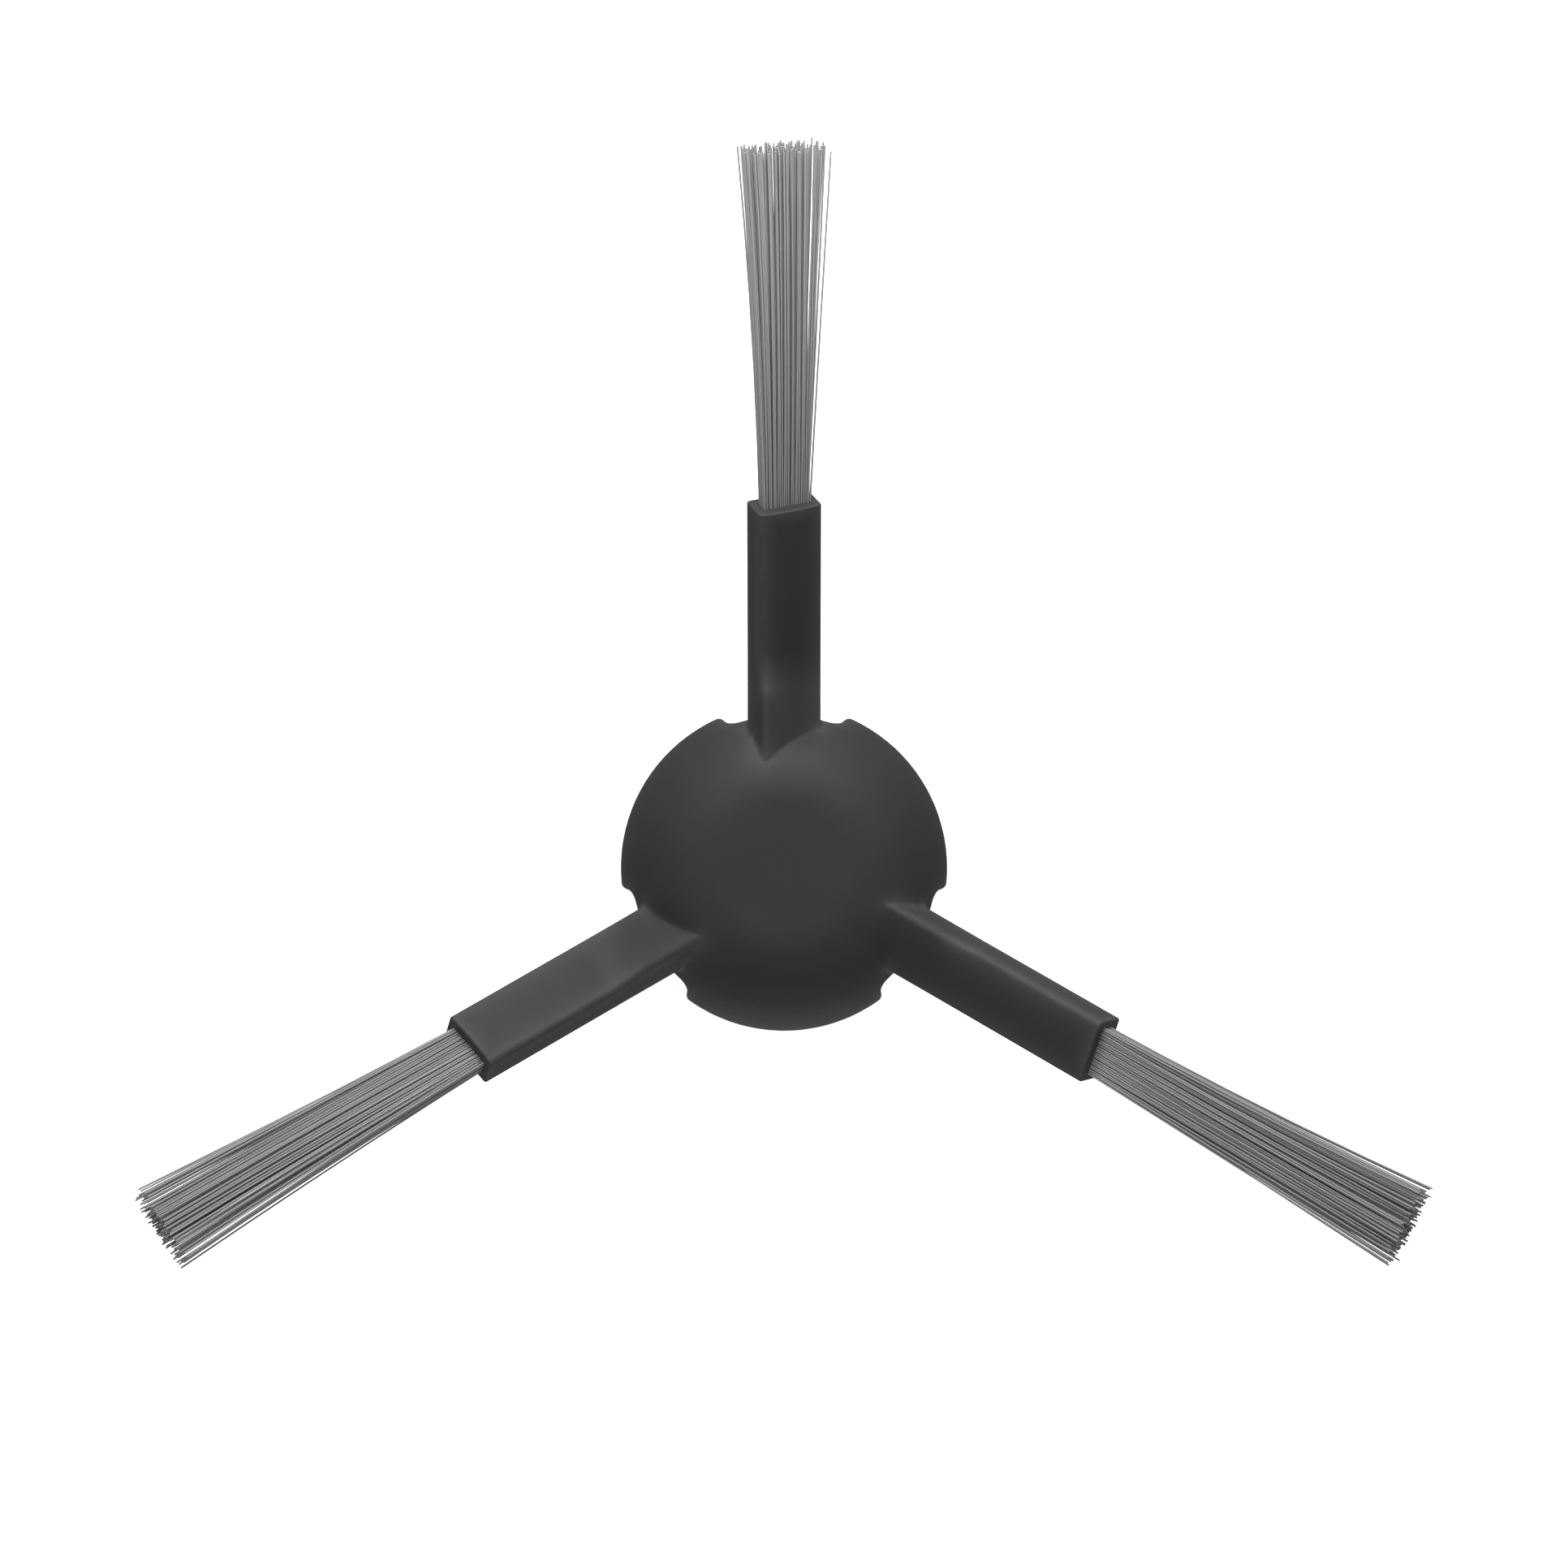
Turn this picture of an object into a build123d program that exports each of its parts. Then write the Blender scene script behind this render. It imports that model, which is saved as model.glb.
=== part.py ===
from build123d import *
from math import cos, floor, hypot, radians, sin, sqrt, tan
import os

# Side brush of a robot vacuum: a domed hub with three sleeved arms, moulded in one piece,
# and a tuft of bristles set into the sleeve at the end of each arm.
# Millimetres and degrees. The origin is on the hub's axis, in the plane of the rim that the
# hub rests on. +Z runs up through the dome and +Y along the first arm.

# Hub: a dome with a flat top, open underneath
hub_radius = 18.0
hub_skirt = 1.2
crown_radius = 10.95
hub_wall = 1.8
rim_chamfer = 0.3

# Drive boss in the middle of the hub: a round pilot bore, then a square socket
boss_radius = 6.2
pilot_radius = 4.4
pilot_depth = 3.0
drive_square = 6.0
drive_corner = 0.4
drive_depth = 9.0

# Arches in the rim, one under each arm
arch_width = 15.2
arch_height = 6.5
arch_draft = 16.0
arch_corner = 1.8

# Arms: a rounded bar, twisted about its own length, level at the hub and then bent upwards
arm_count = 3
arm_width = 7.25
arm_thickness = 3.9
arm_crown = 0.25
ridge_round = 0.75
edge_round = 0.4
arm_level = 7.85
root_twist = 29.0
sleeve_twist = 23.0
bend_clearance = 1.3
bend_radius = 10.0
sleeve_tilt = 30.0
sleeve_reach = 39.2
seam_fillet = 0.65
mouth_chamfer = 0.12

# Socket in the end of each arm
socket_side_wall = 0.82
socket_face_wall = 1.0
socket_round = 0.45
socket_depth = 10.0

# Bristle tufts: filaments that fan out of a butt, melted together at the bottom of the socket
tuft_clearance = 0.05
butt_recess = 1.2
bristle_diameter = 0.22
bristle_pitch = 0.38
bristle_length = 40.7
bristle_fan = 1.8
bristle_uneven = 0.7
bristle_stray = 0.15

# Steps from one bristle to the next, as shares of the whole scatter
stray_stride_across = 0.755
stray_stride_through = 0.570
uneven_stride = 0.618

# Steps of the bend's loft, sides of a bristle, and how an edge is found to lie on the crown
bend_steps = 4
bristle_sides = 6
seam_probes = 5
on_crown_limit = 0.001

os.makedirs("parts", exist_ok=True)

crown_level = hub_skirt + crown_radius
flat_radius = hub_radius - crown_radius
bend_reach = hub_radius + bend_clearance
arm_root = (pilot_radius + boss_radius) / 2


def around_hub(shape):
    """One copy of the shape for each arm."""
    return [Rot(0, 0, 360.0 / arm_count * i) * shape for i in range(arm_count)]


# The first arm's centre line: level, round the bend and up to the mouth, in the plane X = 0

def bend_plane(share):
    """Plane square to the bend: X to the arm's clockwise side, Y to its upper side, Z inwards."""
    tilt = radians(share * sleeve_tilt)
    place = (0, bend_reach + bend_radius * sin(tilt), arm_level + bend_radius * (1 - cos(tilt)))
    return Plane(origin=place, x_dir=(1, 0, 0), z_dir=(0, -cos(tilt), -sin(tilt)))


def turned(plane, twist):
    """The plane, turned about the centre line so that the arm's upper face leans clockwise."""
    return Plane(plane.location * Rot(0, 0, -twist))


bend_end = bend_plane(1)
sleeve_length = (sleeve_reach - bend_end.origin.Y) / cos(radians(sleeve_tilt))
mouth_plane = turned(bend_end.offset(-sleeve_length), sleeve_twist)


# Arm

def arm_section():
    """Rounded bar with a crowned upper face and a wider round along its ridge."""
    half = arm_width / 2
    low = -arm_thickness / 2
    high = arm_thickness / 2
    with BuildSketch() as section:
        with BuildLine():
            Polyline((-half, high), (-half, low), (half, low), (half, high))
            ThreePointArc((half, high), (0, high + arm_crown), (-half, high))
        make_face()
        ridge, *edges = section.vertices().sort_by_distance((-half, high))
        fillet(edges, edge_round)
        fillet(section.vertices().sort_by_distance(ridge)[0], ridge_round)
    return section.sketch


def bend_section(share):
    """Section part of the way round the bend, where the twist eases from root to sleeve."""
    twist = root_twist + share * (sleeve_twist - root_twist)
    return turned(bend_plane(share), twist) * arm_section()


def build_arm():
    """Level root, bend and sleeve, as one bar that has no socket yet."""
    root = extrude(bend_section(0), amount=bend_reach - arm_root)
    bend = loft([bend_section(step / bend_steps) for step in range(bend_steps + 1)])
    sleeve = extrude(bend_section(1), amount=-sleeve_length)
    end_face = sleeve.faces().sort_by_distance(mouth_plane.origin)[0]
    sleeve = chamfer(end_face.edges(), mouth_chamfer)
    return root + bend + sleeve


def build_socket():
    """Hole in the end of the sleeve that the tuft's butt is set into."""
    width = arm_width - 2 * socket_side_wall
    height = arm_thickness - 2 * socket_face_wall
    return extrude(mouth_plane * RectangleRounded(width, height, socket_round), amount=socket_depth)


# Hub

def dome(inset):
    """Solid under the dome, set in from the hub's outer surface."""
    with BuildSketch(Plane.XZ) as profile:
        with BuildLine():
            Polyline((0, 0), (hub_radius - inset, 0), (hub_radius - inset, hub_skirt))
            crown = CenterArc((flat_radius, hub_skirt), crown_radius - inset, 0, 90)
            Polyline(crown @ 1, (0, crown_level - inset), (0, 0))
        make_face()
    return revolve(profile.sketch, axis=Axis.Z)


def arm_seams(shape):
    """Edges where the arms run into the crown of the dome."""
    def on_crown(point):
        across = hypot(point.X, point.Y) - flat_radius
        return abs(hypot(across, point.Z - hub_skirt) - crown_radius) < on_crown_limit

    probes = [step / (seam_probes - 1) for step in range(seam_probes)]
    edges = [edge for edge in shape.edges() if edge.geom_type != GeomType.CIRCLE]
    return [edge for edge in edges if all(on_crown(edge @ probe) for probe in probes)]


def build_arch():
    """Cut for the arch under the first arm, with leaning sides and rounded shoulders."""
    lean = tan(radians(arch_draft))
    foot = arch_width / 2 + lean * hub_skirt
    top = foot - lean * arch_height
    with BuildSketch(Plane.XZ) as opening:
        with BuildLine():
            Polyline((-foot, 0), (foot, 0), (top, arch_height), (-top, arch_height), close=True)
        make_face()
        fillet(opening.vertices().group_by(Axis.Y)[-1], arch_corner)
    return extrude(opening.sketch, amount=-hub_radius) - boss_post()


def boss_post():
    """Round post from the rim's plane to the top of the dome."""
    return extrude(Circle(boss_radius), amount=crown_level)


def build_drive():
    """Pilot bore and square socket for the drive shaft, open at the rim's plane."""
    pilot = extrude(Circle(pilot_radius), amount=pilot_depth)
    socket = extrude(RectangleRounded(drive_square, drive_square, drive_corner), amount=drive_depth)
    return pilot + socket


def build_body():
    """Hub and arms as one moulding: the arms run on under the dome to the drive boss."""
    arms = around_hub(build_arm())
    outside = dome(0)
    foot_edge = outside.edges().filter_by(GeomType.CIRCLE).group_by(Axis.Z)[0]
    outside = chamfer(foot_edge, rim_chamfer) + arms
    outside = fillet(arm_seams(outside), seam_fillet)
    shell = outside - [dome(hub_wall) - boss_post(), *around_hub(build_arch())]
    return shell + arms - [*around_hub(build_socket()), build_drive()]


# Tufts

def scatter(index, stride):
    """Evenly scattered value between -0.5 and 0.5 for the bristle of that number."""
    return index * stride % 1 - 0.5


def bristle_feet(half_width, half_height, corner):
    """Places of the bristles across the butt, in staggered rows clear of its rounded corners."""
    reach = half_width - bristle_diameter / 2
    row_pitch = bristle_pitch * sqrt(3) / 2
    rows = floor((2 * half_height - bristle_diameter) / row_pitch) + 1
    feet = []
    for row in range(rows):
        y = (row - (rows - 1) / 2) * row_pitch
        count = floor((2 * reach - row % 2 * bristle_pitch) / (2 * bristle_pitch)) * 2 + 1 - row % 2
        for column in range(count):
            x = (column - (count - 1) / 2) * bristle_pitch
            past_x = max(abs(x) - half_width + corner, 0)
            past_y = max(abs(y) - half_height + corner, 0)
            if hypot(past_x, past_y) <= corner - bristle_diameter / 2:
                feet.append((x, y))
    return feet


def build_bristle(index, x, y):
    """Straight filament from inside the butt to its tip in the fan, cut a little unevenly."""
    foot = mouth_plane.from_local_coords((x, y, butt_recess + bristle_diameter))
    tip = mouth_plane.from_local_coords((
        x * bristle_fan + bristle_stray * scatter(index, stray_stride_across),
        y * bristle_fan + bristle_stray * scatter(index, stray_stride_through),
        bristle_uneven * scatter(index, uneven_stride) - bristle_length,
    ))
    profile = Plane(origin=foot, z_dir=tip - foot) * RegularPolygon(bristle_diameter / 2, bristle_sides)
    return extrude(profile, amount=(tip - foot).length)


def build_tuft():
    """Butt on the floor of the socket, with the bristles that stand in it."""
    half_width = arm_width / 2 - socket_side_wall - tuft_clearance
    half_height = arm_thickness / 2 - socket_face_wall - tuft_clearance
    corner = socket_round - tuft_clearance
    outline = RectangleRounded(2 * half_width, 2 * half_height, corner)
    butt = extrude(mouth_plane.offset(butt_recess) * outline, amount=socket_depth - butt_recess)
    feet = bristle_feet(half_width, half_height, corner)
    return butt + [build_bristle(index, x, y) for index, (x, y) in enumerate(feet)]


export_step(build_body(), "parts/brush_body.step")
for number, tuft in enumerate(around_hub(build_tuft()), start=1):
    export_step(tuft, f"parts/bristle_tuft_{number}.step")
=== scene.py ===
"""Looks of a robot vacuum's side brush: a moulded hub with three sleeved arms and their bristle tufts."""
from math import ceil, cos, exp, pi, radians, sin

import bmesh
import bpy
from bpy.props import FloatProperty, FloatVectorProperty, IntProperty, PointerProperty
from mathutils import Matrix, Vector
from mathutils.kdtree import KDTree


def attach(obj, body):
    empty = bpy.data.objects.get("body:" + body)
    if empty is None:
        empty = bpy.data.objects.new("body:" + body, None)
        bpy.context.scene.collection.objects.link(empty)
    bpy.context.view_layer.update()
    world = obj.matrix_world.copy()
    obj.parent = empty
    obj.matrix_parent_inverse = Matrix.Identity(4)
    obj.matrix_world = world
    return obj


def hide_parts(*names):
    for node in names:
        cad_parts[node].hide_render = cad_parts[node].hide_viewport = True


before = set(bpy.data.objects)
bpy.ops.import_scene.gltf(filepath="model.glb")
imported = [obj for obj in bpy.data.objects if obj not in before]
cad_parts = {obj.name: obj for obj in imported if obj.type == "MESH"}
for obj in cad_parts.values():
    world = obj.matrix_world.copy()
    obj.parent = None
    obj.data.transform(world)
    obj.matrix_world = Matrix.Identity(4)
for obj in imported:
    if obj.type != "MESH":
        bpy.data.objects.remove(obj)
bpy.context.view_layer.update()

bl_info = {
    "name": "Vacuum Side Brush",
    "version": (1, 0, 0),
    "blender": (4, 5, 0),
    "location": "View3D > Sidebar > Side Brush",
    "description": "Dresses the solids of a robot vacuum's side brush as a moulding with bristles",
    "category": "Object",
}

BODY = "root"
ARM_COUNT = 3
MM = 0.001

# Vertices nearer to each other than this are one
MERGE_DISTANCE = 0.001 * MM

# Rounds of halving the edges of the mesh that carries the painted edge highlight, and how many times its
# reach is refined
REFINE_ROUNDS = 6
REFINE_REACH = 2

# Random draws of a bristle in the order of their seeds, and the step from one tuft's seed to the next
DRAWS = (
    "cut", "stray across", "stray through", "bow across", "bow through", "shade",
    "foot across", "foot through", "clump", "parting", "splay",
)
SEED_STEP = 100

# Kinds of the node tree's inputs, points on a corner of the butt, and the turn that is sharp on a tuft
SOCKET_KINDS = {"INT": "NodeSocketInt", "FLOAT": "NodeSocketFloat"}
BUTT_CORNER_POINTS = 4
TUFT_SHARP_ANGLE = radians(60)

# Middle of a noise texture's values, and the width of the camera's sensor in millimetres
NOISE_MIDDLE = 0.5
SENSOR_WIDTH = 36.0


# Node trees written as expressions

class Wire:
    """An output socket that Python's operators work on, each by a Math node."""

    def __init__(self, sheet, socket):
        self.sheet = sheet
        self.socket = socket

    def math(self, operation, *others):
        return self.sheet.math(operation, self, *others)

    def __add__(self, other):
        return self.math("ADD", other)

    def __mul__(self, other):
        return self.math("MULTIPLY", other)

    def __sub__(self, other):
        return self.math("SUBTRACT", other)

    def __truediv__(self, other):
        return self.math("DIVIDE", other)

    def __rsub__(self, other):
        return self.sheet.math("SUBTRACT", other, self)

    def __rtruediv__(self, other):
        return self.sheet.math("DIVIDE", other, self)

    __radd__ = __add__
    __rmul__ = __mul__


class Sheet:
    """A node tree that is written as Python expressions."""

    def __init__(self, tree):
        self.tree = tree
        tree.nodes.clear()

    @staticmethod
    def pick(sockets, key):
        """The socket in use that has this name or place."""
        in_use = [socket for socket in sockets if socket.enabled]
        if isinstance(key, int):
            return in_use[key]
        return next(socket for socket in in_use if socket.name == key)

    def plug(self, socket, value):
        """Sets a socket to a value, or links it to one or several wires."""
        if isinstance(value, Wire):
            self.tree.links.new(value.socket, socket)
        elif isinstance(value, list):
            for wire in value:
                self.tree.links.new(wire.socket, socket)
        else:
            socket.default_value = value

    def node(self, kind, settings=None, sockets=None, output=0):
        """A new node with its settings, then its sockets' values or links; gives one of its outputs."""
        node = self.tree.nodes.new(kind)
        for name, value in (settings or {}).items():
            setattr(node, name, value)
        for key, value in (sockets or {}).items():
            self.plug(self.pick(node.inputs, key), value)
        return Wire(self, self.pick(node.outputs, output)) if len(node.outputs) else None

    def math(self, operation, *values):
        """A Math node on values and wires."""
        return self.node("ShaderNodeMath", {"operation": operation}, dict(enumerate(values)))


# Settings that a user would change

class MouldingSettings(bpy.types.PropertyGroup):
    """Finish of the moulded hub and arms."""
    colour: FloatVectorProperty(
        name="Colour", description="Colour of the plastic",
        default=(0.0335, 0.0335, 0.0338), size=3, min=0, max=1, subtype="COLOR")
    tint: FloatProperty(
        name="Tint", description="How much paler and darker the colour gets from place to place, as a share",
        default=0.1, min=0, max=1)
    roughness: FloatProperty(
        name="Roughness", description="Roughness of the satin surface",
        default=0.55, min=0, max=1, subtype="FACTOR")
    specular: FloatProperty(
        name="Specular", description="Strength of the reflections",
        default=0.28, min=0, max=1, subtype="FACTOR")
    grain: FloatProperty(
        name="Grain", description="Width of the fine grain left by the mould",
        default=0.22 * MM, min=0.02 * MM, unit="LENGTH")
    grain_depth: FloatProperty(
        name="Grain Depth", description="Depth of the grain",
        default=0.004 * MM, min=0, unit="LENGTH")
    grain_strength: FloatProperty(
        name="Grain Strength", description="How much of the grain's depth shows",
        default=0.6, min=0, max=1, subtype="FACTOR")
    grain_share: FloatProperty(
        name="Grain Share", description="Share of the grain in the tint, beside the cloudy patches",
        default=0.4, min=0, max=1, subtype="FACTOR")
    grain_gloss: FloatProperty(
        name="Grain Gloss", description="How much the roughness changes with the grain", default=0.1, min=0)
    mottle: FloatProperty(
        name="Mottle", description="Width of the cloudy patches in colour and gloss",
        default=5.0 * MM, min=0.1 * MM, unit="LENGTH")
    mottle_gloss: FloatProperty(
        name="Mottle Gloss", description="How much the roughness changes with the patches",
        default=0.12, min=0)
    detail: FloatProperty(
        name="Detail", description="Finer steps within the grain and the patches", default=3.0, min=0)
    sharp_angle: FloatProperty(
        name="Sharp Angle", description="Edges that turn by more than this stay sharp",
        default=radians(32), min=0, subtype="ANGLE")
    # Strength of the painted edge highlight, which paints the colour paler along convex edges to stand in
    # for the light they catch
    wear: FloatProperty(
        name="Wear", description="How much paler the plastic is rubbed along its edges",
        default=0.95, min=0)
    # Distance over which the painted edge highlight fades
    highlight_reach: FloatProperty(
        name="Wear Reach", description="Distance from an edge over which the wear fades",
        default=0.9 * MM, min=0.05 * MM, unit="LENGTH")
    # Convex edges that turn by more than this get the painted highlight
    highlight_angle: FloatProperty(
        name="Wear Angle", description="Convex edges that turn by more than this are rubbed",
        default=radians(7.5), min=0, subtype="ANGLE")
    # Longest edge of the mesh that carries the painted edge highlight
    mesh_step: FloatProperty(
        name="Mesh Step", description="Longest edge of the mesh that carries the wear",
        default=1.0 * MM, min=0.1 * MM, unit="LENGTH")


class MouthSettings(bpy.types.PropertyGroup):
    """Place of the mouths of the sleeves."""
    reach: FloatProperty(
        name="Mouth Reach", description="Distance of the sleeve's mouth from the hub's axis",
        default=39.2 * MM, unit="LENGTH")
    level: FloatProperty(
        name="Mouth Level", description="Height of the sleeve's mouth over the rim of the hub",
        default=17.79 * MM, unit="LENGTH")
    tilt: FloatProperty(
        name="Tilt", description="Angle by which the sleeve rises",
        default=radians(30), subtype="ANGLE")
    twist: FloatProperty(
        name="Twist", description="Angle by which the sleeve's upper face leans clockwise",
        default=radians(23), subtype="ANGLE")


class TuftSettings(bpy.types.PropertyGroup):
    """Sizes of a tuft, each an input of its node tree."""
    rows: IntProperty(
        name="Rows", description="Rows of bristles through a tuft", default=7, min=2)
    columns: IntProperty(
        name="Columns", description="Bristles in each row", default=22, min=1)
    diameter: FloatProperty(
        name="Diameter", description="Thickness of a bristle",
        default=0.21 * MM, min=0.01 * MM, unit="LENGTH")
    length: FloatProperty(
        name="Length", description="Length of the bristles beyond the mouth of the sleeve",
        default=41.0 * MM, min=1 * MM, unit="LENGTH")
    jitter: FloatProperty(
        name="Jitter", description="How far a bristle stands from its place in the row",
        default=0.05 * MM, min=0, unit="LENGTH")
    clumps: FloatProperty(
        name="Clumps", description="Clumps that the tuft parts into", default=6.0, min=1)
    clump_slant: FloatProperty(
        name="Clump Slant", description="How far the partings lean through the tuft, in clumps", default=0.6)
    clump_blur: FloatProperty(
        name="Clump Blur", description="How far the edge of a clump wanders, in clumps", default=0.1, min=0)
    parting: FloatProperty(
        name="Parting", description="How far the clumps part at their tips",
        default=0.1 * MM, min=0, unit="LENGTH")
    splay: FloatProperty(
        name="Splay", description="How far the outermost bristles spread beyond the fan",
        default=0.6 * MM, min=0, unit="LENGTH")
    splay_power: FloatProperty(
        name="Splay Power", description="How closely the splay keeps to the outermost bristles",
        default=8.0, min=1)
    gather: FloatProperty(
        name="Gather", description="How far the bristles gather towards the tuft's middle, as a share",
        default=0.45, min=0)
    lopsided: FloatProperty(
        name="Lopsided", description="How much more the clockwise side splays and gathers", default=1.2)
    bundle_width: FloatProperty(
        name="Bundle Width", description="Width of the tuft in the mouth",
        default=5.46 * MM, min=0.1 * MM, unit="LENGTH")
    bundle_height: FloatProperty(
        name="Bundle Height", description="Thickness of the tuft in the mouth",
        default=1.6 * MM, min=0.1 * MM, unit="LENGTH")
    butt_recess: FloatProperty(
        name="Butt Recess", description="Depth of the melted butt below the mouth",
        default=1.2 * MM, min=0, unit="LENGTH")
    butt_depth: FloatProperty(
        name="Butt Depth", description="Length of the melted butt in the socket",
        default=8.8 * MM, min=0.1 * MM, unit="LENGTH")
    butt_margin: FloatProperty(
        name="Butt Margin", description="How far the butt stands out past the bristles all round",
        default=0.04 * MM, min=0, unit="LENGTH")
    butt_round: FloatProperty(
        name="Butt Round", description="Radius of the butt's corners",
        default=0.42 * MM, min=0, unit="LENGTH")
    fan: FloatProperty(
        name="Fan", description="Even growth of the tuft's width to its tips, as a share", default=0.43)
    flare: FloatProperty(
        name="Flare", description="Growth that comes towards the tips, as a share", default=0.22)
    curl: FloatProperty(
        name="Curl", description="Bend of the tips to the counter-clockwise side",
        default=0.5 * MM, unit="LENGTH")
    lean: FloatProperty(
        name="Lean", description="How far the tuft leans to the clockwise side on its whole length",
        default=0.3 * MM, unit="LENGTH")
    offset: FloatProperty(
        name="Offset", description="How far to the clockwise side the tuft stands in its socket",
        default=0.04 * MM, unit="LENGTH")
    stray: FloatProperty(
        name="Stray", description="How far a bristle's tip strays from its place in the fan",
        default=0.22 * MM, min=0, unit="LENGTH")
    bow: FloatProperty(
        name="Bow", description="How far a bristle bows out at the middle of its length",
        default=0.12 * MM, min=0, unit="LENGTH")
    uneven: FloatProperty(
        name="Uneven Cut", description="Difference in length between the bristles",
        default=0.6 * MM, min=0, unit="LENGTH")
    tip_round: FloatProperty(
        name="Rounded Cut", description="How much shorter the outermost bristles are cut",
        default=0.05 * MM, min=0, unit="LENGTH")
    slant: FloatProperty(
        name="Slanted Cut", description="How much longer the tuft is cut on the counter-clockwise side",
        default=0.8 * MM, unit="LENGTH")
    edge_shade: FloatProperty(
        name="Edge Shade", description="How much paler the outermost bristles are", default=0.15)
    sides: IntProperty(
        name="Sides", description="Sides of a bristle's mesh", default=7, min=3)
    steps: IntProperty(
        name="Steps", description="Points along a bristle", default=6, min=2)
    seed: IntProperty(
        name="Seed", description="Start of the random numbers of the first tuft", default=4)


class NylonSettings(bpy.types.PropertyGroup):
    """Finish of the bristles."""
    light_colour: FloatVectorProperty(
        name="Light Colour", description="Colour of the palest bristles",
        default=(0.5, 0.5, 0.5), size=3, min=0, max=1, subtype="COLOR")
    dark_colour: FloatVectorProperty(
        name="Dark Colour", description="Colour of the darkest bristles",
        default=(0.27, 0.27, 0.27), size=3, min=0, max=1, subtype="COLOR")
    clouds: FloatProperty(
        name="Clouds", description="Width of the cloudy patches along the bristles",
        default=3.0 * MM, min=0.1 * MM, unit="LENGTH")
    cloud_share: FloatProperty(
        name="Cloud Share", description="Share of the patches in a bristle's shade",
        default=0.15, min=0, max=1, subtype="FACTOR")
    roughness: FloatProperty(
        name="Roughness", description="Roughness of the nylon",
        default=0.36, min=0, max=1, subtype="FACTOR")
    scuffs: FloatProperty(
        name="Scuffs", description="Width of the fine scuffs",
        default=0.3 * MM, min=0.02 * MM, unit="LENGTH")
    scuff_depth: FloatProperty(
        name="Scuff Depth", description="Depth of the scuffs",
        default=0.01 * MM, min=0, unit="LENGTH")
    scuff_strength: FloatProperty(
        name="Scuff Strength", description="How much of the scuffs' depth shows",
        default=0.3, min=0, max=1, subtype="FACTOR")
    scuff_gloss: FloatProperty(
        name="Scuff Gloss", description="How much the roughness changes with the scuffs",
        default=0.15, min=0)
    detail: FloatProperty(
        name="Detail", description="Finer steps within the patches and the scuffs", default=2.0, min=0)


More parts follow.
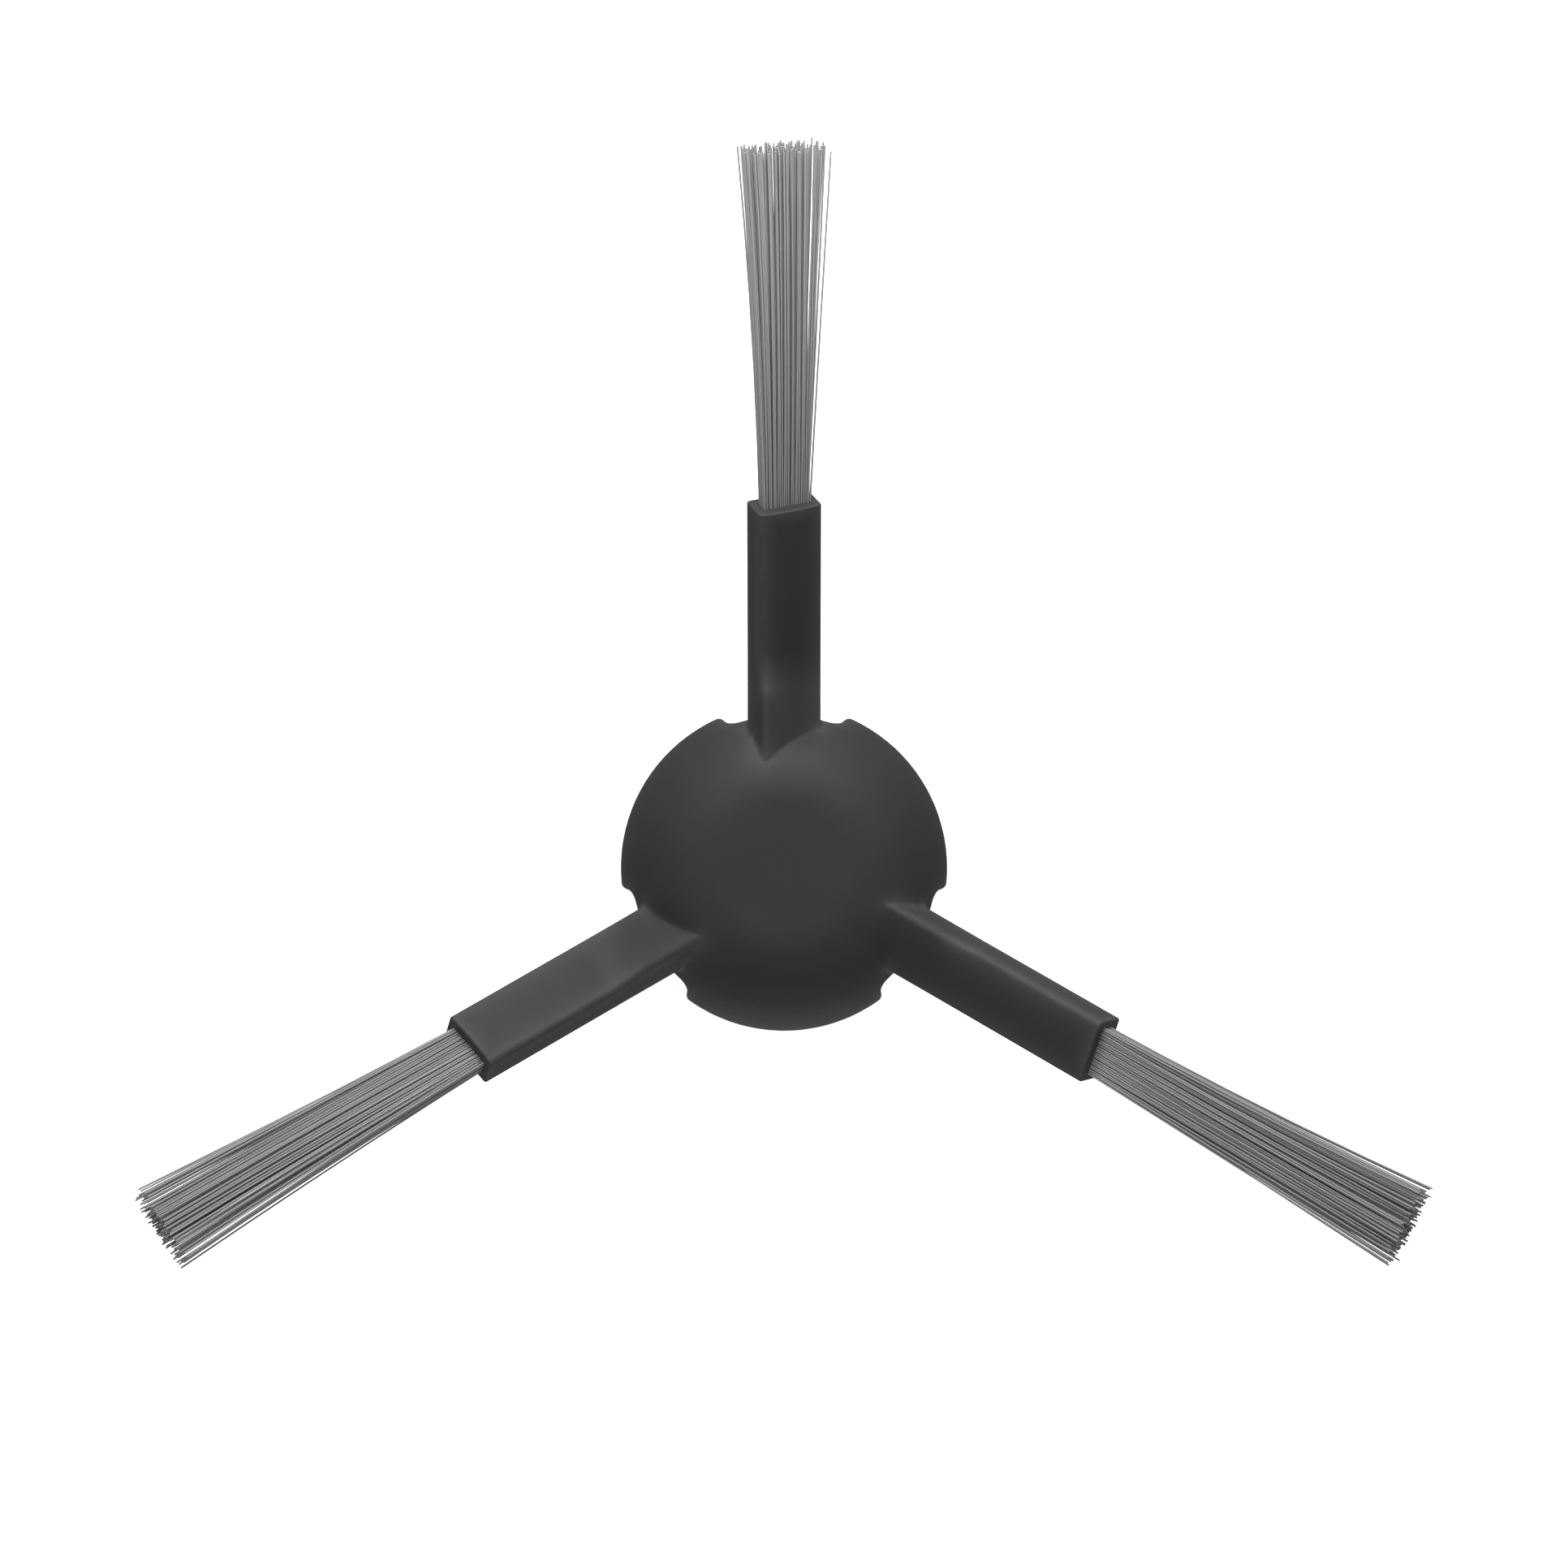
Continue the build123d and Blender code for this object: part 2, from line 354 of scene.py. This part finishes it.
class StudioSettings(bpy.types.PropertyGroup):
    """Camera, floor and lights."""
    distance: FloatProperty(
        name="Camera Distance", description="Height of the camera over the rim of the hub",
        default=0.62, min=0.05, unit="LENGTH")
    view_width: FloatProperty(
        name="View Width", description="Width of the picture in the plane of the rim",
        default=173.26 * MM, min=0.01, unit="LENGTH")
    hub_drop: FloatProperty(
        name="Hub Drop", description="How far the hub lies below the picture's middle, as a share of it",
        default=0.0533)
    floor_size: FloatProperty(
        name="Floor Size", description="Width of the floor", default=4.0, min=0.5, unit="LENGTH")
    floor_light: FloatVectorProperty(
        name="Floor Light", description="Palest colour of the floor",
        default=(0.9, 0.9, 0.9), size=3, min=0, max=1, subtype="COLOR")
    floor_dark: FloatVectorProperty(
        name="Floor Dark", description="Darkest colour of the floor",
        default=(0.86, 0.86, 0.86), size=3, min=0, max=1, subtype="COLOR")
    floor_fibre: FloatProperty(
        name="Floor Fibre", description="Width of the patches in the floor's paper",
        default=2.0 * MM, min=0.1 * MM, unit="LENGTH")
    floor_detail: FloatProperty(
        name="Floor Detail", description="Finer steps within the patches", default=2.0, min=0)
    floor_roughness: FloatProperty(
        name="Floor Roughness", description="Roughness of the floor's paper",
        default=0.8, min=0, max=1, subtype="FACTOR")
    floor_glow: FloatProperty(
        name="Floor Glow", description="Light that the floor gives off", default=0.85, min=0)
    even_light: FloatProperty(
        name="Even Light", description="Brightness of the light from all round", default=0.33, min=0)
    back_light: FloatProperty(
        name="Back Light", description="Brightness of the wide glow behind the brush", default=1.15, min=0)
    back_height: FloatProperty(
        name="Back Height", description="Angle of the wide glow over the floor",
        default=radians(28), subtype="ANGLE")
    back_focus: FloatProperty(
        name="Back Focus", description="How closely the wide glow keeps to its middle", default=2.0, min=1)
    front_light: FloatProperty(
        name="Front Light", description="Brightness of the low glow before the brush", default=1.05, min=0)
    front_height: FloatProperty(
        name="Front Height", description="Angle of the low glow over the floor",
        default=radians(-20), subtype="ANGLE")
    front_focus: FloatProperty(
        name="Front Focus", description="How closely the low glow keeps to its middle", default=6.0, min=1)
    key_brightness: FloatProperty(
        name="Key Brightness", description="Brightness of the soft box behind the brush",
        default=1.42, min=0)
    key_height: FloatProperty(
        name="Key Height", description="Angle of the soft boxes over the floor",
        default=radians(40), subtype="ANGLE")
    key_distance: FloatProperty(
        name="Key Distance", description="Distance of the soft box from the hub",
        default=2.0, unit="LENGTH")
    key_size: FloatProperty(
        name="Key Size", description="Width of the soft box", default=2.12, unit="LENGTH")
    tip_brightness: FloatProperty(
        name="Tip Brightness", description="Brightness of the small soft box near the first tuft's tips",
        default=6.4, min=0)
    tip_distance: FloatProperty(
        name="Tip Distance", description="Distance of the small soft box from the hub",
        default=0.15, unit="LENGTH")
    tip_size: FloatProperty(
        name="Tip Size", description="Width of the small soft box", default=0.06, unit="LENGTH")
    spot_power: FloatProperty(
        name="Spot Power", description="Power of the spot over the first tuft's tips",
        default=2.1, min=0, unit="POWER")
    spot_angle: FloatProperty(
        name="Spot Angle", description="Width of the spot's cone",
        default=radians(22), min=radians(1), subtype="ANGLE")
    spot_radius: FloatProperty(
        name="Spot Radius", description="Radius of the spot's lamp", default=0.01, min=0, unit="LENGTH")
    spot_place: FloatVectorProperty(
        name="Spot Place", description="Where the spot hangs",
        default=(0, 0.02, 0.35), size=3, subtype="TRANSLATION", unit="LENGTH")
    spot_target: FloatVectorProperty(
        name="Spot Target", description="What the spot is turned to, a little past the tips",
        default=(0, 0.092, 0.046), size=3, subtype="TRANSLATION", unit="LENGTH")


class SideBrushSettings(bpy.types.PropertyGroup):
    """All the settings of the side brush."""
    moulding: PointerProperty(type=MouldingSettings)
    mouth: PointerProperty(type=MouthSettings)
    tuft: PointerProperty(type=TuftSettings)
    nylon: PointerProperty(type=NylonSettings)
    studio: PointerProperty(type=StudioSettings)


# Finishes

def new_material(name):
    """Empty material and the sheet that its nodes are written on."""
    material = bpy.data.materials.new(name)
    material.use_nodes = True
    return material, Sheet(material.node_tree)


def noise(sheet, where, width, detail):
    """Cloudy value from 0 to 1, with patches of about that width."""
    return sheet.node("ShaderNodeTexNoise", None, {"Vector": where, "Scale": 1 / width, "Detail": detail})


def blend(sheet, share, first, second):
    """Colour between two others."""
    return sheet.node("ShaderNodeMix", {"data_type": "RGBA"}, {"Factor": share, "A": first, "B": second})


def bump(sheet, strength, depth, height):
    """Surface normal of a fine relief."""
    return sheet.node("ShaderNodeBump", None, {"Strength": strength, "Distance": depth, "Height": height})


def finish_surface(sheet, sockets):
    """Principled surface with these socket values, as the material's output."""
    surface = sheet.node("ShaderNodeBsdfPrincipled", None, sockets)
    sheet.node("ShaderNodeOutputMaterial", None, {"Surface": surface})


def shaded(colour, share=1.0):
    """Opaque colour, made lighter or darker by a share."""
    return (*[part * share for part in colour], 1.0)


def satin_moulding(settings):
    """Dark satin plastic with the fine grain of its mould and faint patches, and a painted highlight that
    makes it paler along its convex edges.
    """
    material, sheet = new_material("satin moulding")
    where = sheet.node("ShaderNodeTexCoord", output="Object")
    clouds = noise(sheet, where, settings.mottle, settings.detail)
    grain = noise(sheet, where, settings.grain, settings.detail)
    # Painted highlight: 1 on the convex edges, fading away from them
    wear = sheet.node("ShaderNodeAttribute", {"attribute_name": "wear"}, output="Fac")
    mixed = clouds * (1 - settings.grain_share) + grain * settings.grain_share
    dark = shaded(settings.colour, 1 - settings.tint)
    light = shaded(settings.colour, 1 + settings.tint)
    # Paler colour that is painted along the edges as a highlight
    highlight_colour = shaded(settings.colour, 1 + settings.wear)
    cloud_gloss = (clouds - NOISE_MIDDLE) * settings.mottle_gloss
    grain_gloss = (grain - NOISE_MIDDLE) * settings.grain_gloss
    finish_surface(sheet, {
        "Base Color": blend(sheet, wear, blend(sheet, mixed, dark, light), highlight_colour),
        "Roughness": settings.roughness + cloud_gloss + grain_gloss,
        "Specular IOR Level": settings.specular,
        "Normal": bump(sheet, settings.grain_strength, settings.grain_depth, grain),
    })
    return material


def bristle_nylon(settings):
    """Grey nylon that differs in shade from bristle to bristle."""
    material, sheet = new_material("bristle nylon")
    where = sheet.node("ShaderNodeTexCoord", output="Object")
    shade = sheet.node("ShaderNodeAttribute", {"attribute_name": "shade"}, output="Fac")
    clouds = noise(sheet, where, settings.clouds, settings.detail)
    scuffs = noise(sheet, where, settings.scuffs, settings.detail)
    mixed = shade * (1 - settings.cloud_share) + clouds * settings.cloud_share
    finish_surface(sheet, {
        "Base Color": blend(sheet, mixed, shaded(settings.dark_colour), shaded(settings.light_colour)),
        "Roughness": settings.roughness + (scuffs - NOISE_MIDDLE) * settings.scuff_gloss,
        "Normal": bump(sheet, settings.scuff_strength, settings.scuff_depth, scuffs),
    })
    return material


# Moulded body

def show(name, mesh):
    """Object in the scene for a mesh that already lies in place."""
    piece = bpy.data.objects.new(name, mesh)
    bpy.context.scene.collection.objects.link(piece)
    return piece


def evaluated_mesh(piece):
    """Plain mesh of a piece with its modifiers applied."""
    ready = piece.evaluated_get(bpy.context.evaluated_depsgraph_get())
    return bpy.data.meshes.new_from_object(ready)


def find_crests(work, least_turn, step):
    """Search tree of points along the convex edges that turn by more than that."""
    places = []
    for edge in work.edges:
        if edge.calc_face_angle_signed(0) > least_turn:
            start, end = [vert.co for vert in edge.verts]
            count = ceil(edge.calc_length() / step)
            places += [start.lerp(end, index / count) for index in range(count + 1)]
    crests = KDTree(len(places))
    for index, place in enumerate(places):
        crests.insert(place, index)
    crests.balance()
    return crests


def distance_to(crests, place):
    """Distance from a place to the nearest point on a crest."""
    _, _, distance = crests.find(place)
    return distance


def refine(work, crests, longest, reach):
    """Halves the long edges near the crests a few times over."""
    for _ in range(REFINE_ROUNDS):
        near = []
        for edge in work.edges:
            length = edge.calc_length()
            middle = (edge.verts[0].co + edge.verts[1].co) / 2
            if length > longest and distance_to(crests, middle) < reach + length / 2:
                near.append(edge)
        bmesh.ops.subdivide_edges(work, edges=near, cuts=1)
        bmesh.ops.triangulate(work, faces=[face for face in work.faces if len(face.verts) > 3])


def mark_painted_highlight(work, crests, reach):
    """Writes the painted edge highlight: how near each vertex lies to a crest, 1 on it, fading with the
    distance.
    """
    wear = work.verts.layers.float.new("wear")
    for vert in work.verts:
        vert[wear] = exp(-distance_to(crests, vert.co) / reach)


def merged_copy(node, settings):
    """Copy of a solid's mesh with its loose faces joined at their edges, and its painted edge highlight
    marked.
    """
    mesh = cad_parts[node].data.copy()
    work = bmesh.new()
    work.from_mesh(mesh)
    bmesh.ops.remove_doubles(work, verts=work.verts, dist=MERGE_DISTANCE)
    crests = find_crests(work, settings.highlight_angle, settings.mesh_step / 2)
    refine(work, crests, settings.mesh_step, REFINE_REACH * settings.highlight_reach)
    mark_painted_highlight(work, crests, settings.highlight_reach)
    work.to_mesh(mesh)
    work.free()
    if "custom_normal" in mesh.attributes:
        mesh.attributes.remove(mesh.attributes["custom_normal"])
    return mesh


class SIDEBRUSH_OT_body(bpy.types.Operator):
    """Make the hub and its arms, as one smooth moulding"""
    bl_idname = "side_brush.body"
    bl_label = "Moulded Body"

    def execute(self, context):
        settings = context.scene.side_brush.moulding
        mesh = merged_copy("brush_body", settings)
        mesh.shade_smooth()
        mesh.set_sharp_from_angle(angle=settings.sharp_angle)
        piece = show("moulded_body", mesh)
        evening = piece.modifiers.new("even shading", "WEIGHTED_NORMAL")
        evening.keep_sharp = True
        piece.data = evaluated_mesh(piece)
        piece.modifiers.clear()
        piece.data.materials.clear()
        piece.data.materials.append(satin_moulding(settings))
        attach(piece, BODY)
        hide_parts("brush_body")
        return {"FINISHED"}


# Bristle tufts

def tuft_sizes():
    """The settings of a tuft, each by the name of its input in the node tree."""
    return {TuftSettings.bl_rna.properties[key].name: key for key in TuftSettings.__annotations__}


def tuft_tree():
    """Geometry nodes for one tuft that stands in the mouth plane: X across, Y through it, Z outwards."""
    tree = bpy.data.node_groups.new("bristle tuft", "GeometryNodeTree")
    for name, key in tuft_sizes().items():
        kind = SOCKET_KINDS[TuftSettings.bl_rna.properties[key].type]
        tree.interface.new_socket(name, in_out="INPUT", socket_type=kind)
    tree.interface.new_socket("Material", in_out="INPUT", socket_type="NodeSocketMaterial")
    tree.interface.new_socket("Geometry", in_out="OUTPUT", socket_type="NodeSocketGeometry")
    sheet = Sheet(tree)
    given = {name: sheet.node("NodeGroupInput", output=name) for name in (*tuft_sizes(), "Material")}
    parts = [bristle_nodes(sheet, given), butt_nodes(sheet, given)]
    joined = sheet.node("GeometryNodeJoinGeometry", None, {"Geometry": parts})
    whole = sheet.node("GeometryNodeRealizeInstances", None, {"Geometry": joined})
    dressed = sheet.node("GeometryNodeSetMaterial", None, {"Geometry": whole, "Material": given["Material"]})
    sheet.node("NodeGroupOutput", None, {"Geometry": dressed})
    return tree


def drawn(sheet, given, name, group=None):
    """Random number from -1 to 1 for each bristle, or for each group of them."""
    sockets = {"Min": -1.0, "Max": 1.0, "Seed": given["Seed"] + (DRAWS.index(name) + 1)}
    if group:
        sockets["ID"] = group
    return sheet.node("FunctionNodeRandomValue", {"data_type": "FLOAT"}, sockets)


def drawn_share(sheet, given, name):
    """Random number from 0 to 1 for each bristle."""
    return drawn(sheet, given, name) * 0.5 + 0.5


def vector(sheet, x, y, z):
    """Vector of three values or wires."""
    return sheet.node("ShaderNodeCombineXYZ", None, {"X": x, "Y": y, "Z": z})


def bristle_values(sheet, given):
    """What sets each bristle apart, by its number: its foot and cut, how it strays and bows, its shade."""
    index = sheet.node("GeometryNodeInputIndex")
    row = (index / given["Columns"]).math("FLOOR")
    column = index - row * given["Columns"]

    # Places from -0.5 to 0.5, where every other row stands half a step further on
    stagger = (row.math("MODULO", 2.0) + 0.5) * 0.5
    across = (column + stagger) / given["Columns"] - 0.5
    through = row / (given["Rows"] - 1.0) - 0.5
    foot_x = across * given["Bundle Width"] + drawn(sheet, given, "foot across") * given["Jitter"]
    foot_y = through * given["Bundle Height"] + drawn(sheet, given, "foot through") * given["Jitter"]

    # The outermost bristles splay, and the others gather towards the middle
    from_middle = across * 2.0
    inner = 1.0 - from_middle * from_middle
    lopsided = 1.0 - across * given["Lopsided"]
    outermost = from_middle.math("ABSOLUTE").math("POWER", given["Splay Power"])
    splay = outermost * across * given["Splay"] * 2.0 * lopsided
    gather = across * inner * given["Gather"] * given["Bundle Width"] * lopsided

    # The tuft parts into clumps that lean together
    slant = through * given["Clump Slant"]
    blur = drawn(sheet, given, "clump") * given["Clump Blur"]
    clump = ((across + 0.5) * given["Clumps"] + slant + blur).math("FLOOR")
    parting = drawn(sheet, given, "parting", clump) * given["Parting"]
    stray_x = drawn(sheet, given, "stray across") * given["Stray"]
    stray_y = drawn(sheet, given, "stray through") * given["Stray"]
    lean = stray_x + parting + splay * drawn_share(sheet, given, "splay") - gather

    uneven = drawn(sheet, given, "cut") * given["Uneven Cut"] * 0.5
    cut = across * given["Slanted Cut"] + uneven - from_middle * from_middle * given["Rounded Cut"]
    bow_x = drawn(sheet, given, "bow across") * given["Bow"]
    bow_y = drawn(sheet, given, "bow through") * given["Bow"]
    shade = drawn_share(sheet, given, "shade") + from_middle * from_middle * given["Edge Shade"]
    return {
        "foot": vector(sheet, foot_x, foot_y, cut),
        "stray": vector(sheet, lean, stray_y, 0.0),
        "bow": vector(sheet, bow_x, bow_y, 0.0),
        "shade": vector(sheet, shade, 0.0, 0.0),
    }


def bristle_place(sheet, given):
    """Where each point of a straight line from 0 to 1 goes on its bristle."""
    def own(name, part):
        """Part of a value that the bristle keeps."""
        kept = sheet.node("GeometryNodeInputNamedAttribute", {"data_type": "FLOAT_VECTOR"}, {"Name": name})
        return sheet.node("ShaderNodeSeparateXYZ", None, {"Vector": kept}, output=part)

    place = sheet.node("GeometryNodeInputPosition")
    share = sheet.node("ShaderNodeSeparateXYZ", None, {"Vector": place}, output="Z")
    reach = given["Length"] + own("foot", "Z")
    out = share * (reach + given["Butt Recess"]) - given["Butt Recess"]
    along = out / given["Length"]
    spread = along * given["Fan"] + along * along * given["Flare"] + 1.0
    belly = along * (1.0 - along) * 4.0
    x = own("foot", "X") * spread + own("stray", "X") * along + own("bow", "X") * belly
    y = own("foot", "Y") * spread + own("stray", "Y") * along + own("bow", "Y") * belly
    x = x + along * along * given["Curl"] - along * given["Lean"] - given["Offset"]
    return vector(sheet, x, y, out)


def bristle_nodes(sheet, given):
    """Bristles that stand in staggered rows in the butt, fan out and end in an uneven cut."""
    values = bristle_values(sheet, given)
    points = sheet.node("GeometryNodePoints", None, {"Count": given["Rows"] * given["Columns"]})
    for name, value in values.items():
        points = sheet.node(
            "GeometryNodeStoreNamedAttribute", {"data_type": "FLOAT_VECTOR", "domain": "POINT"},
            {"Geometry": points, "Name": name, "Value": value})
    line = sheet.node("GeometryNodeCurvePrimitiveLine", None, {"Start": (0, 0, 0), "End": (0, 0, 1)})
    line = sheet.node("GeometryNodeResampleCurve", None, {"Curve": line, "Count": given["Steps"]})
    lines = sheet.node("GeometryNodeInstanceOnPoints", None, {"Points": points, "Instance": line})
    lines = sheet.node("GeometryNodeRealizeInstances", None, {"Geometry": lines})
    lines = sheet.node("GeometryNodeSetPosition", None,
                       {"Geometry": lines, "Position": bristle_place(sheet, given)})
    section = sheet.node("GeometryNodeCurvePrimitiveCircle", None,
                         {"Resolution": given["Sides"], "Radius": given["Diameter"] * 0.5})
    return sheet.node("GeometryNodeCurveToMesh", None,
                      {"Curve": lines, "Profile Curve": section, "Fill Caps": True})


def butt_nodes(sheet, given):
    """Block at the bottom of the socket, where the bristles are melted together."""
    margin = given["Butt Margin"] * 2.0
    outline = sheet.node("GeometryNodeCurvePrimitiveQuadrilateral", None, {
        "Width": given["Bundle Width"] + margin,
        "Height": given["Bundle Height"] + margin,
    })
    outline = sheet.node("GeometryNodeFilletCurve", {"mode": "POLY"},
                         {"Curve": outline, "Count": BUTT_CORNER_POINTS, "Radius": given["Butt Round"]})
    lid = sheet.node("GeometryNodeFillCurve", {"mode": "NGONS"}, {"Curve": outline})
    sides = sheet.node("GeometryNodeExtrudeMesh", {"mode": "FACES"}, {
        "Mesh": lid, "Offset": (0, 0, 1), "Offset Scale": given["Butt Depth"], "Individual": False})
    base = sheet.node("GeometryNodeFlipFaces", None, {"Mesh": lid})
    block = sheet.node("GeometryNodeJoinGeometry", None, {"Geometry": [sides, base]})
    block = sheet.node("GeometryNodeMergeByDistance", None, {"Geometry": block, "Distance": MERGE_DISTANCE})
    drop = vector(sheet, 0.0, 0.0, (given["Butt Depth"] + given["Butt Recess"]) * -1.0)
    return sheet.node("GeometryNodeTransform", None, {"Geometry": block, "Translation": drop})


def mouth_place(settings, arm):
    """Place of an arm's mouth plane: X to the counter-clockwise side, Y to the upper side, Z outwards."""
    around = Matrix.Rotation(radians(360 / ARM_COUNT * arm), 4, "Z")
    mouth = Matrix.Translation((0, settings.reach, settings.level))
    rise = Matrix.Rotation(settings.tilt, 4, "X")
    outwards = Matrix(((-1, 0, 0), (0, 0, 1), (0, 1, 0))).to_4x4()
    return around @ mouth @ rise @ outwards @ Matrix.Rotation(settings.twist, 4, "Z")


def grown_tuft(piece, tree, settings, nylon, arm):
    """Mesh that the node tree makes for an arm's tuft, in its own mouth plane."""
    growth = piece.modifiers.new("bristles", "NODES")
    growth.node_group = tree
    inputs = {item.name: item.identifier for item in tree.interface.items_tree if item.in_out == "INPUT"}
    for name, key in tuft_sizes().items():
        growth[inputs[name]] = getattr(settings, key)
    growth[inputs["Seed"]] = settings.seed + SEED_STEP * arm
    growth[inputs["Material"]] = nylon
    mesh = evaluated_mesh(piece)
    piece.modifiers.clear()
    return mesh


class SIDEBRUSH_OT_tufts(bpy.types.Operator):
    """Make the bristle tufts, one in the sleeve of each arm"""
    bl_idname = "side_brush.tufts"
    bl_label = "Bristle Tufts"

    def execute(self, context):
        brush = context.scene.side_brush
        tree = tuft_tree()
        nylon = bristle_nylon(brush.nylon)
        for arm in range(ARM_COUNT):
            piece = show(f"bristle_fan_{arm + 1}", bpy.data.meshes.new("empty tuft"))
            mesh = grown_tuft(piece, tree, brush.tuft, nylon, arm)
            mesh.transform(mouth_place(brush.mouth, arm))
            mesh.shade_smooth()
            mesh.set_sharp_from_angle(angle=TUFT_SHARP_ANGLE)
            piece.data = mesh
            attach(piece, BODY)
            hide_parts(f"bristle_tuft_{arm + 1}")
        return {"FINISHED"}


# Studio

def floor_paper(settings):
    """Pale paper that gives off a little light of its own."""
    material, sheet = new_material("floor paper")
    where = sheet.node("ShaderNodeTexCoord", output="Object")
    fibre = noise(sheet, where, settings.floor_fibre, settings.floor_detail)
    finish_surface(sheet, {
        "Base Color": blend(sheet, fibre, shaded(settings.floor_dark), shaded(settings.floor_light)),
        "Roughness": settings.floor_roughness,
        "Emission Color": (1, 1, 1, 1),
        "Emission Strength": settings.floor_glow,
    })
    return material


def make_floor(settings):
    """Plain floor that the rim of the hub rests on; only the camera sees it."""
    half = settings.floor_size / 2
    corners = [(-half, -half, 0), (half, -half, 0), (half, half, 0), (-half, half, 0)]
    mesh = bpy.data.meshes.new("floor")
    mesh.from_pydata(corners, [], [(0, 1, 2, 3)])
    mesh.materials.append(floor_paper(settings))
    floor = show("floor", mesh)
    floor.visible_diffuse = False
    floor.visible_glossy = False
    floor.visible_shadow = False


def hang(lamp, place, target):
    """Light in the scene at a place, turned to a target and unseen by the camera."""
    light = bpy.data.objects.new(lamp.name, lamp)
    light.location = place
    light.rotation_euler = (place - target).to_track_quat("Z", "Y").to_euler()
    light.visible_camera = False
    bpy.context.scene.collection.objects.link(light)


def make_soft_box(name, brightness, height, distance, size):
    """Round soft box behind the brush, turned to the hub."""
    lamp = bpy.data.lights.new(name, "AREA")
    lamp.shape = "DISK"
    lamp.size = size
    lamp.energy = brightness * (pi * size / 2) ** 2
    way = Matrix.Rotation(height, 4, "X") @ Vector((0, 1, 0))
    hang(lamp, way * distance, Vector((0, 0, 0)))


def make_spot(settings):
    """Soft-edged spot over the hub, turned to the tips of the first tuft."""
    lamp = bpy.data.lights.new("tip spot", "SPOT")
    lamp.energy = settings.spot_power
    lamp.spot_size = settings.spot_angle
    lamp.spot_blend = 1.0
    lamp.shadow_soft_size = settings.spot_radius
    hang(lamp, Vector(settings.spot_place), Vector(settings.spot_target))


def make_surroundings(settings):
    """Even light from all round, with a wide glow behind the brush and a low one before it."""
    world = bpy.data.worlds.new("studio")
    world.use_nodes = True
    sheet = Sheet(world.node_tree)
    way = sheet.node("ShaderNodeTexCoord", output="Generated")

    def glow(height, towards, focus):
        """Patch of light that fades away from a direction along Y."""
        middle = (0, towards * cos(height), sin(height))
        facing = sheet.node(
            "ShaderNodeVectorMath", {"operation": "DOT_PRODUCT"}, {0: way, 1: middle}, output="Value")
        return facing.math("MAXIMUM", 0.0).math("POWER", focus)

    back = glow(settings.back_height, 1, settings.back_focus) * settings.back_light
    front = glow(settings.front_height, -1, settings.front_focus) * settings.front_light
    light = sheet.node("ShaderNodeBackground", None, {"Strength": back + front + settings.even_light})
    sheet.node("ShaderNodeOutputWorld", None, {"Surface": light})
    bpy.context.scene.world = world


def make_camera(settings):
    """Camera over the hub, looking straight down, with the first arm pointing up in the picture."""
    lens = bpy.data.cameras.new("camera")
    lens.sensor_width = SENSOR_WIDTH
    lens.lens = SENSOR_WIDTH * settings.distance / settings.view_width
    lens.shift_y = settings.hub_drop
    camera = bpy.data.objects.new("camera", lens)
    camera.location = (0, 0, settings.distance)
    bpy.context.scene.collection.objects.link(camera)
    bpy.context.scene.camera = camera


class SIDEBRUSH_OT_studio(bpy.types.Operator):
    """Make the floor, the lights and the camera"""
    bl_idname = "side_brush.studio"
    bl_label = "Studio"

    def execute(self, context):
        settings = context.scene.side_brush.studio
        make_floor(settings)
        make_soft_box("key light", settings.key_brightness, settings.key_height,
                      settings.key_distance, settings.key_size)
        make_soft_box("tip light", settings.tip_brightness, settings.key_height,
                      settings.tip_distance, settings.tip_size)
        make_spot(settings)
        make_surroundings(settings)
        make_camera(settings)
        context.scene.view_settings.view_transform = "Standard"
        return {"FINISHED"}


# Add-on

class SIDEBRUSH_PT_panel(bpy.types.Panel):
    """Settings and pieces of the side brush"""
    bl_idname = "SIDEBRUSH_PT_panel"
    bl_label = "Side Brush"
    bl_space_type = "VIEW_3D"
    bl_region_type = "UI"
    bl_category = "Side Brush"

    def draw(self, context):
        brush = context.scene.side_brush
        for operator, groups in (
                (SIDEBRUSH_OT_body, (brush.moulding,)),
                (SIDEBRUSH_OT_tufts, (brush.mouth, brush.tuft, brush.nylon)),
                (SIDEBRUSH_OT_studio, (brush.studio,))):
            box = self.layout.box()
            box.operator(operator.bl_idname)
            for group in groups:
                for name in group.__annotations__:
                    box.prop(group, name)


CLASSES = (
    MouldingSettings, MouthSettings, TuftSettings, NylonSettings, StudioSettings, SideBrushSettings,
    SIDEBRUSH_OT_body, SIDEBRUSH_OT_tufts, SIDEBRUSH_OT_studio, SIDEBRUSH_PT_panel,
)


def register():
    for kind in CLASSES:
        bpy.utils.register_class(kind)
    bpy.types.Scene.side_brush = PointerProperty(type=SideBrushSettings)


def unregister():
    del bpy.types.Scene.side_brush
    for kind in reversed(CLASSES):
        bpy.utils.unregister_class(kind)


def main():
    """Builds the brush and its studio."""
    register()
    bpy.ops.side_brush.body()
    bpy.ops.side_brush.tufts()
    bpy.ops.side_brush.studio()


if __name__ == "__main__":
    main()
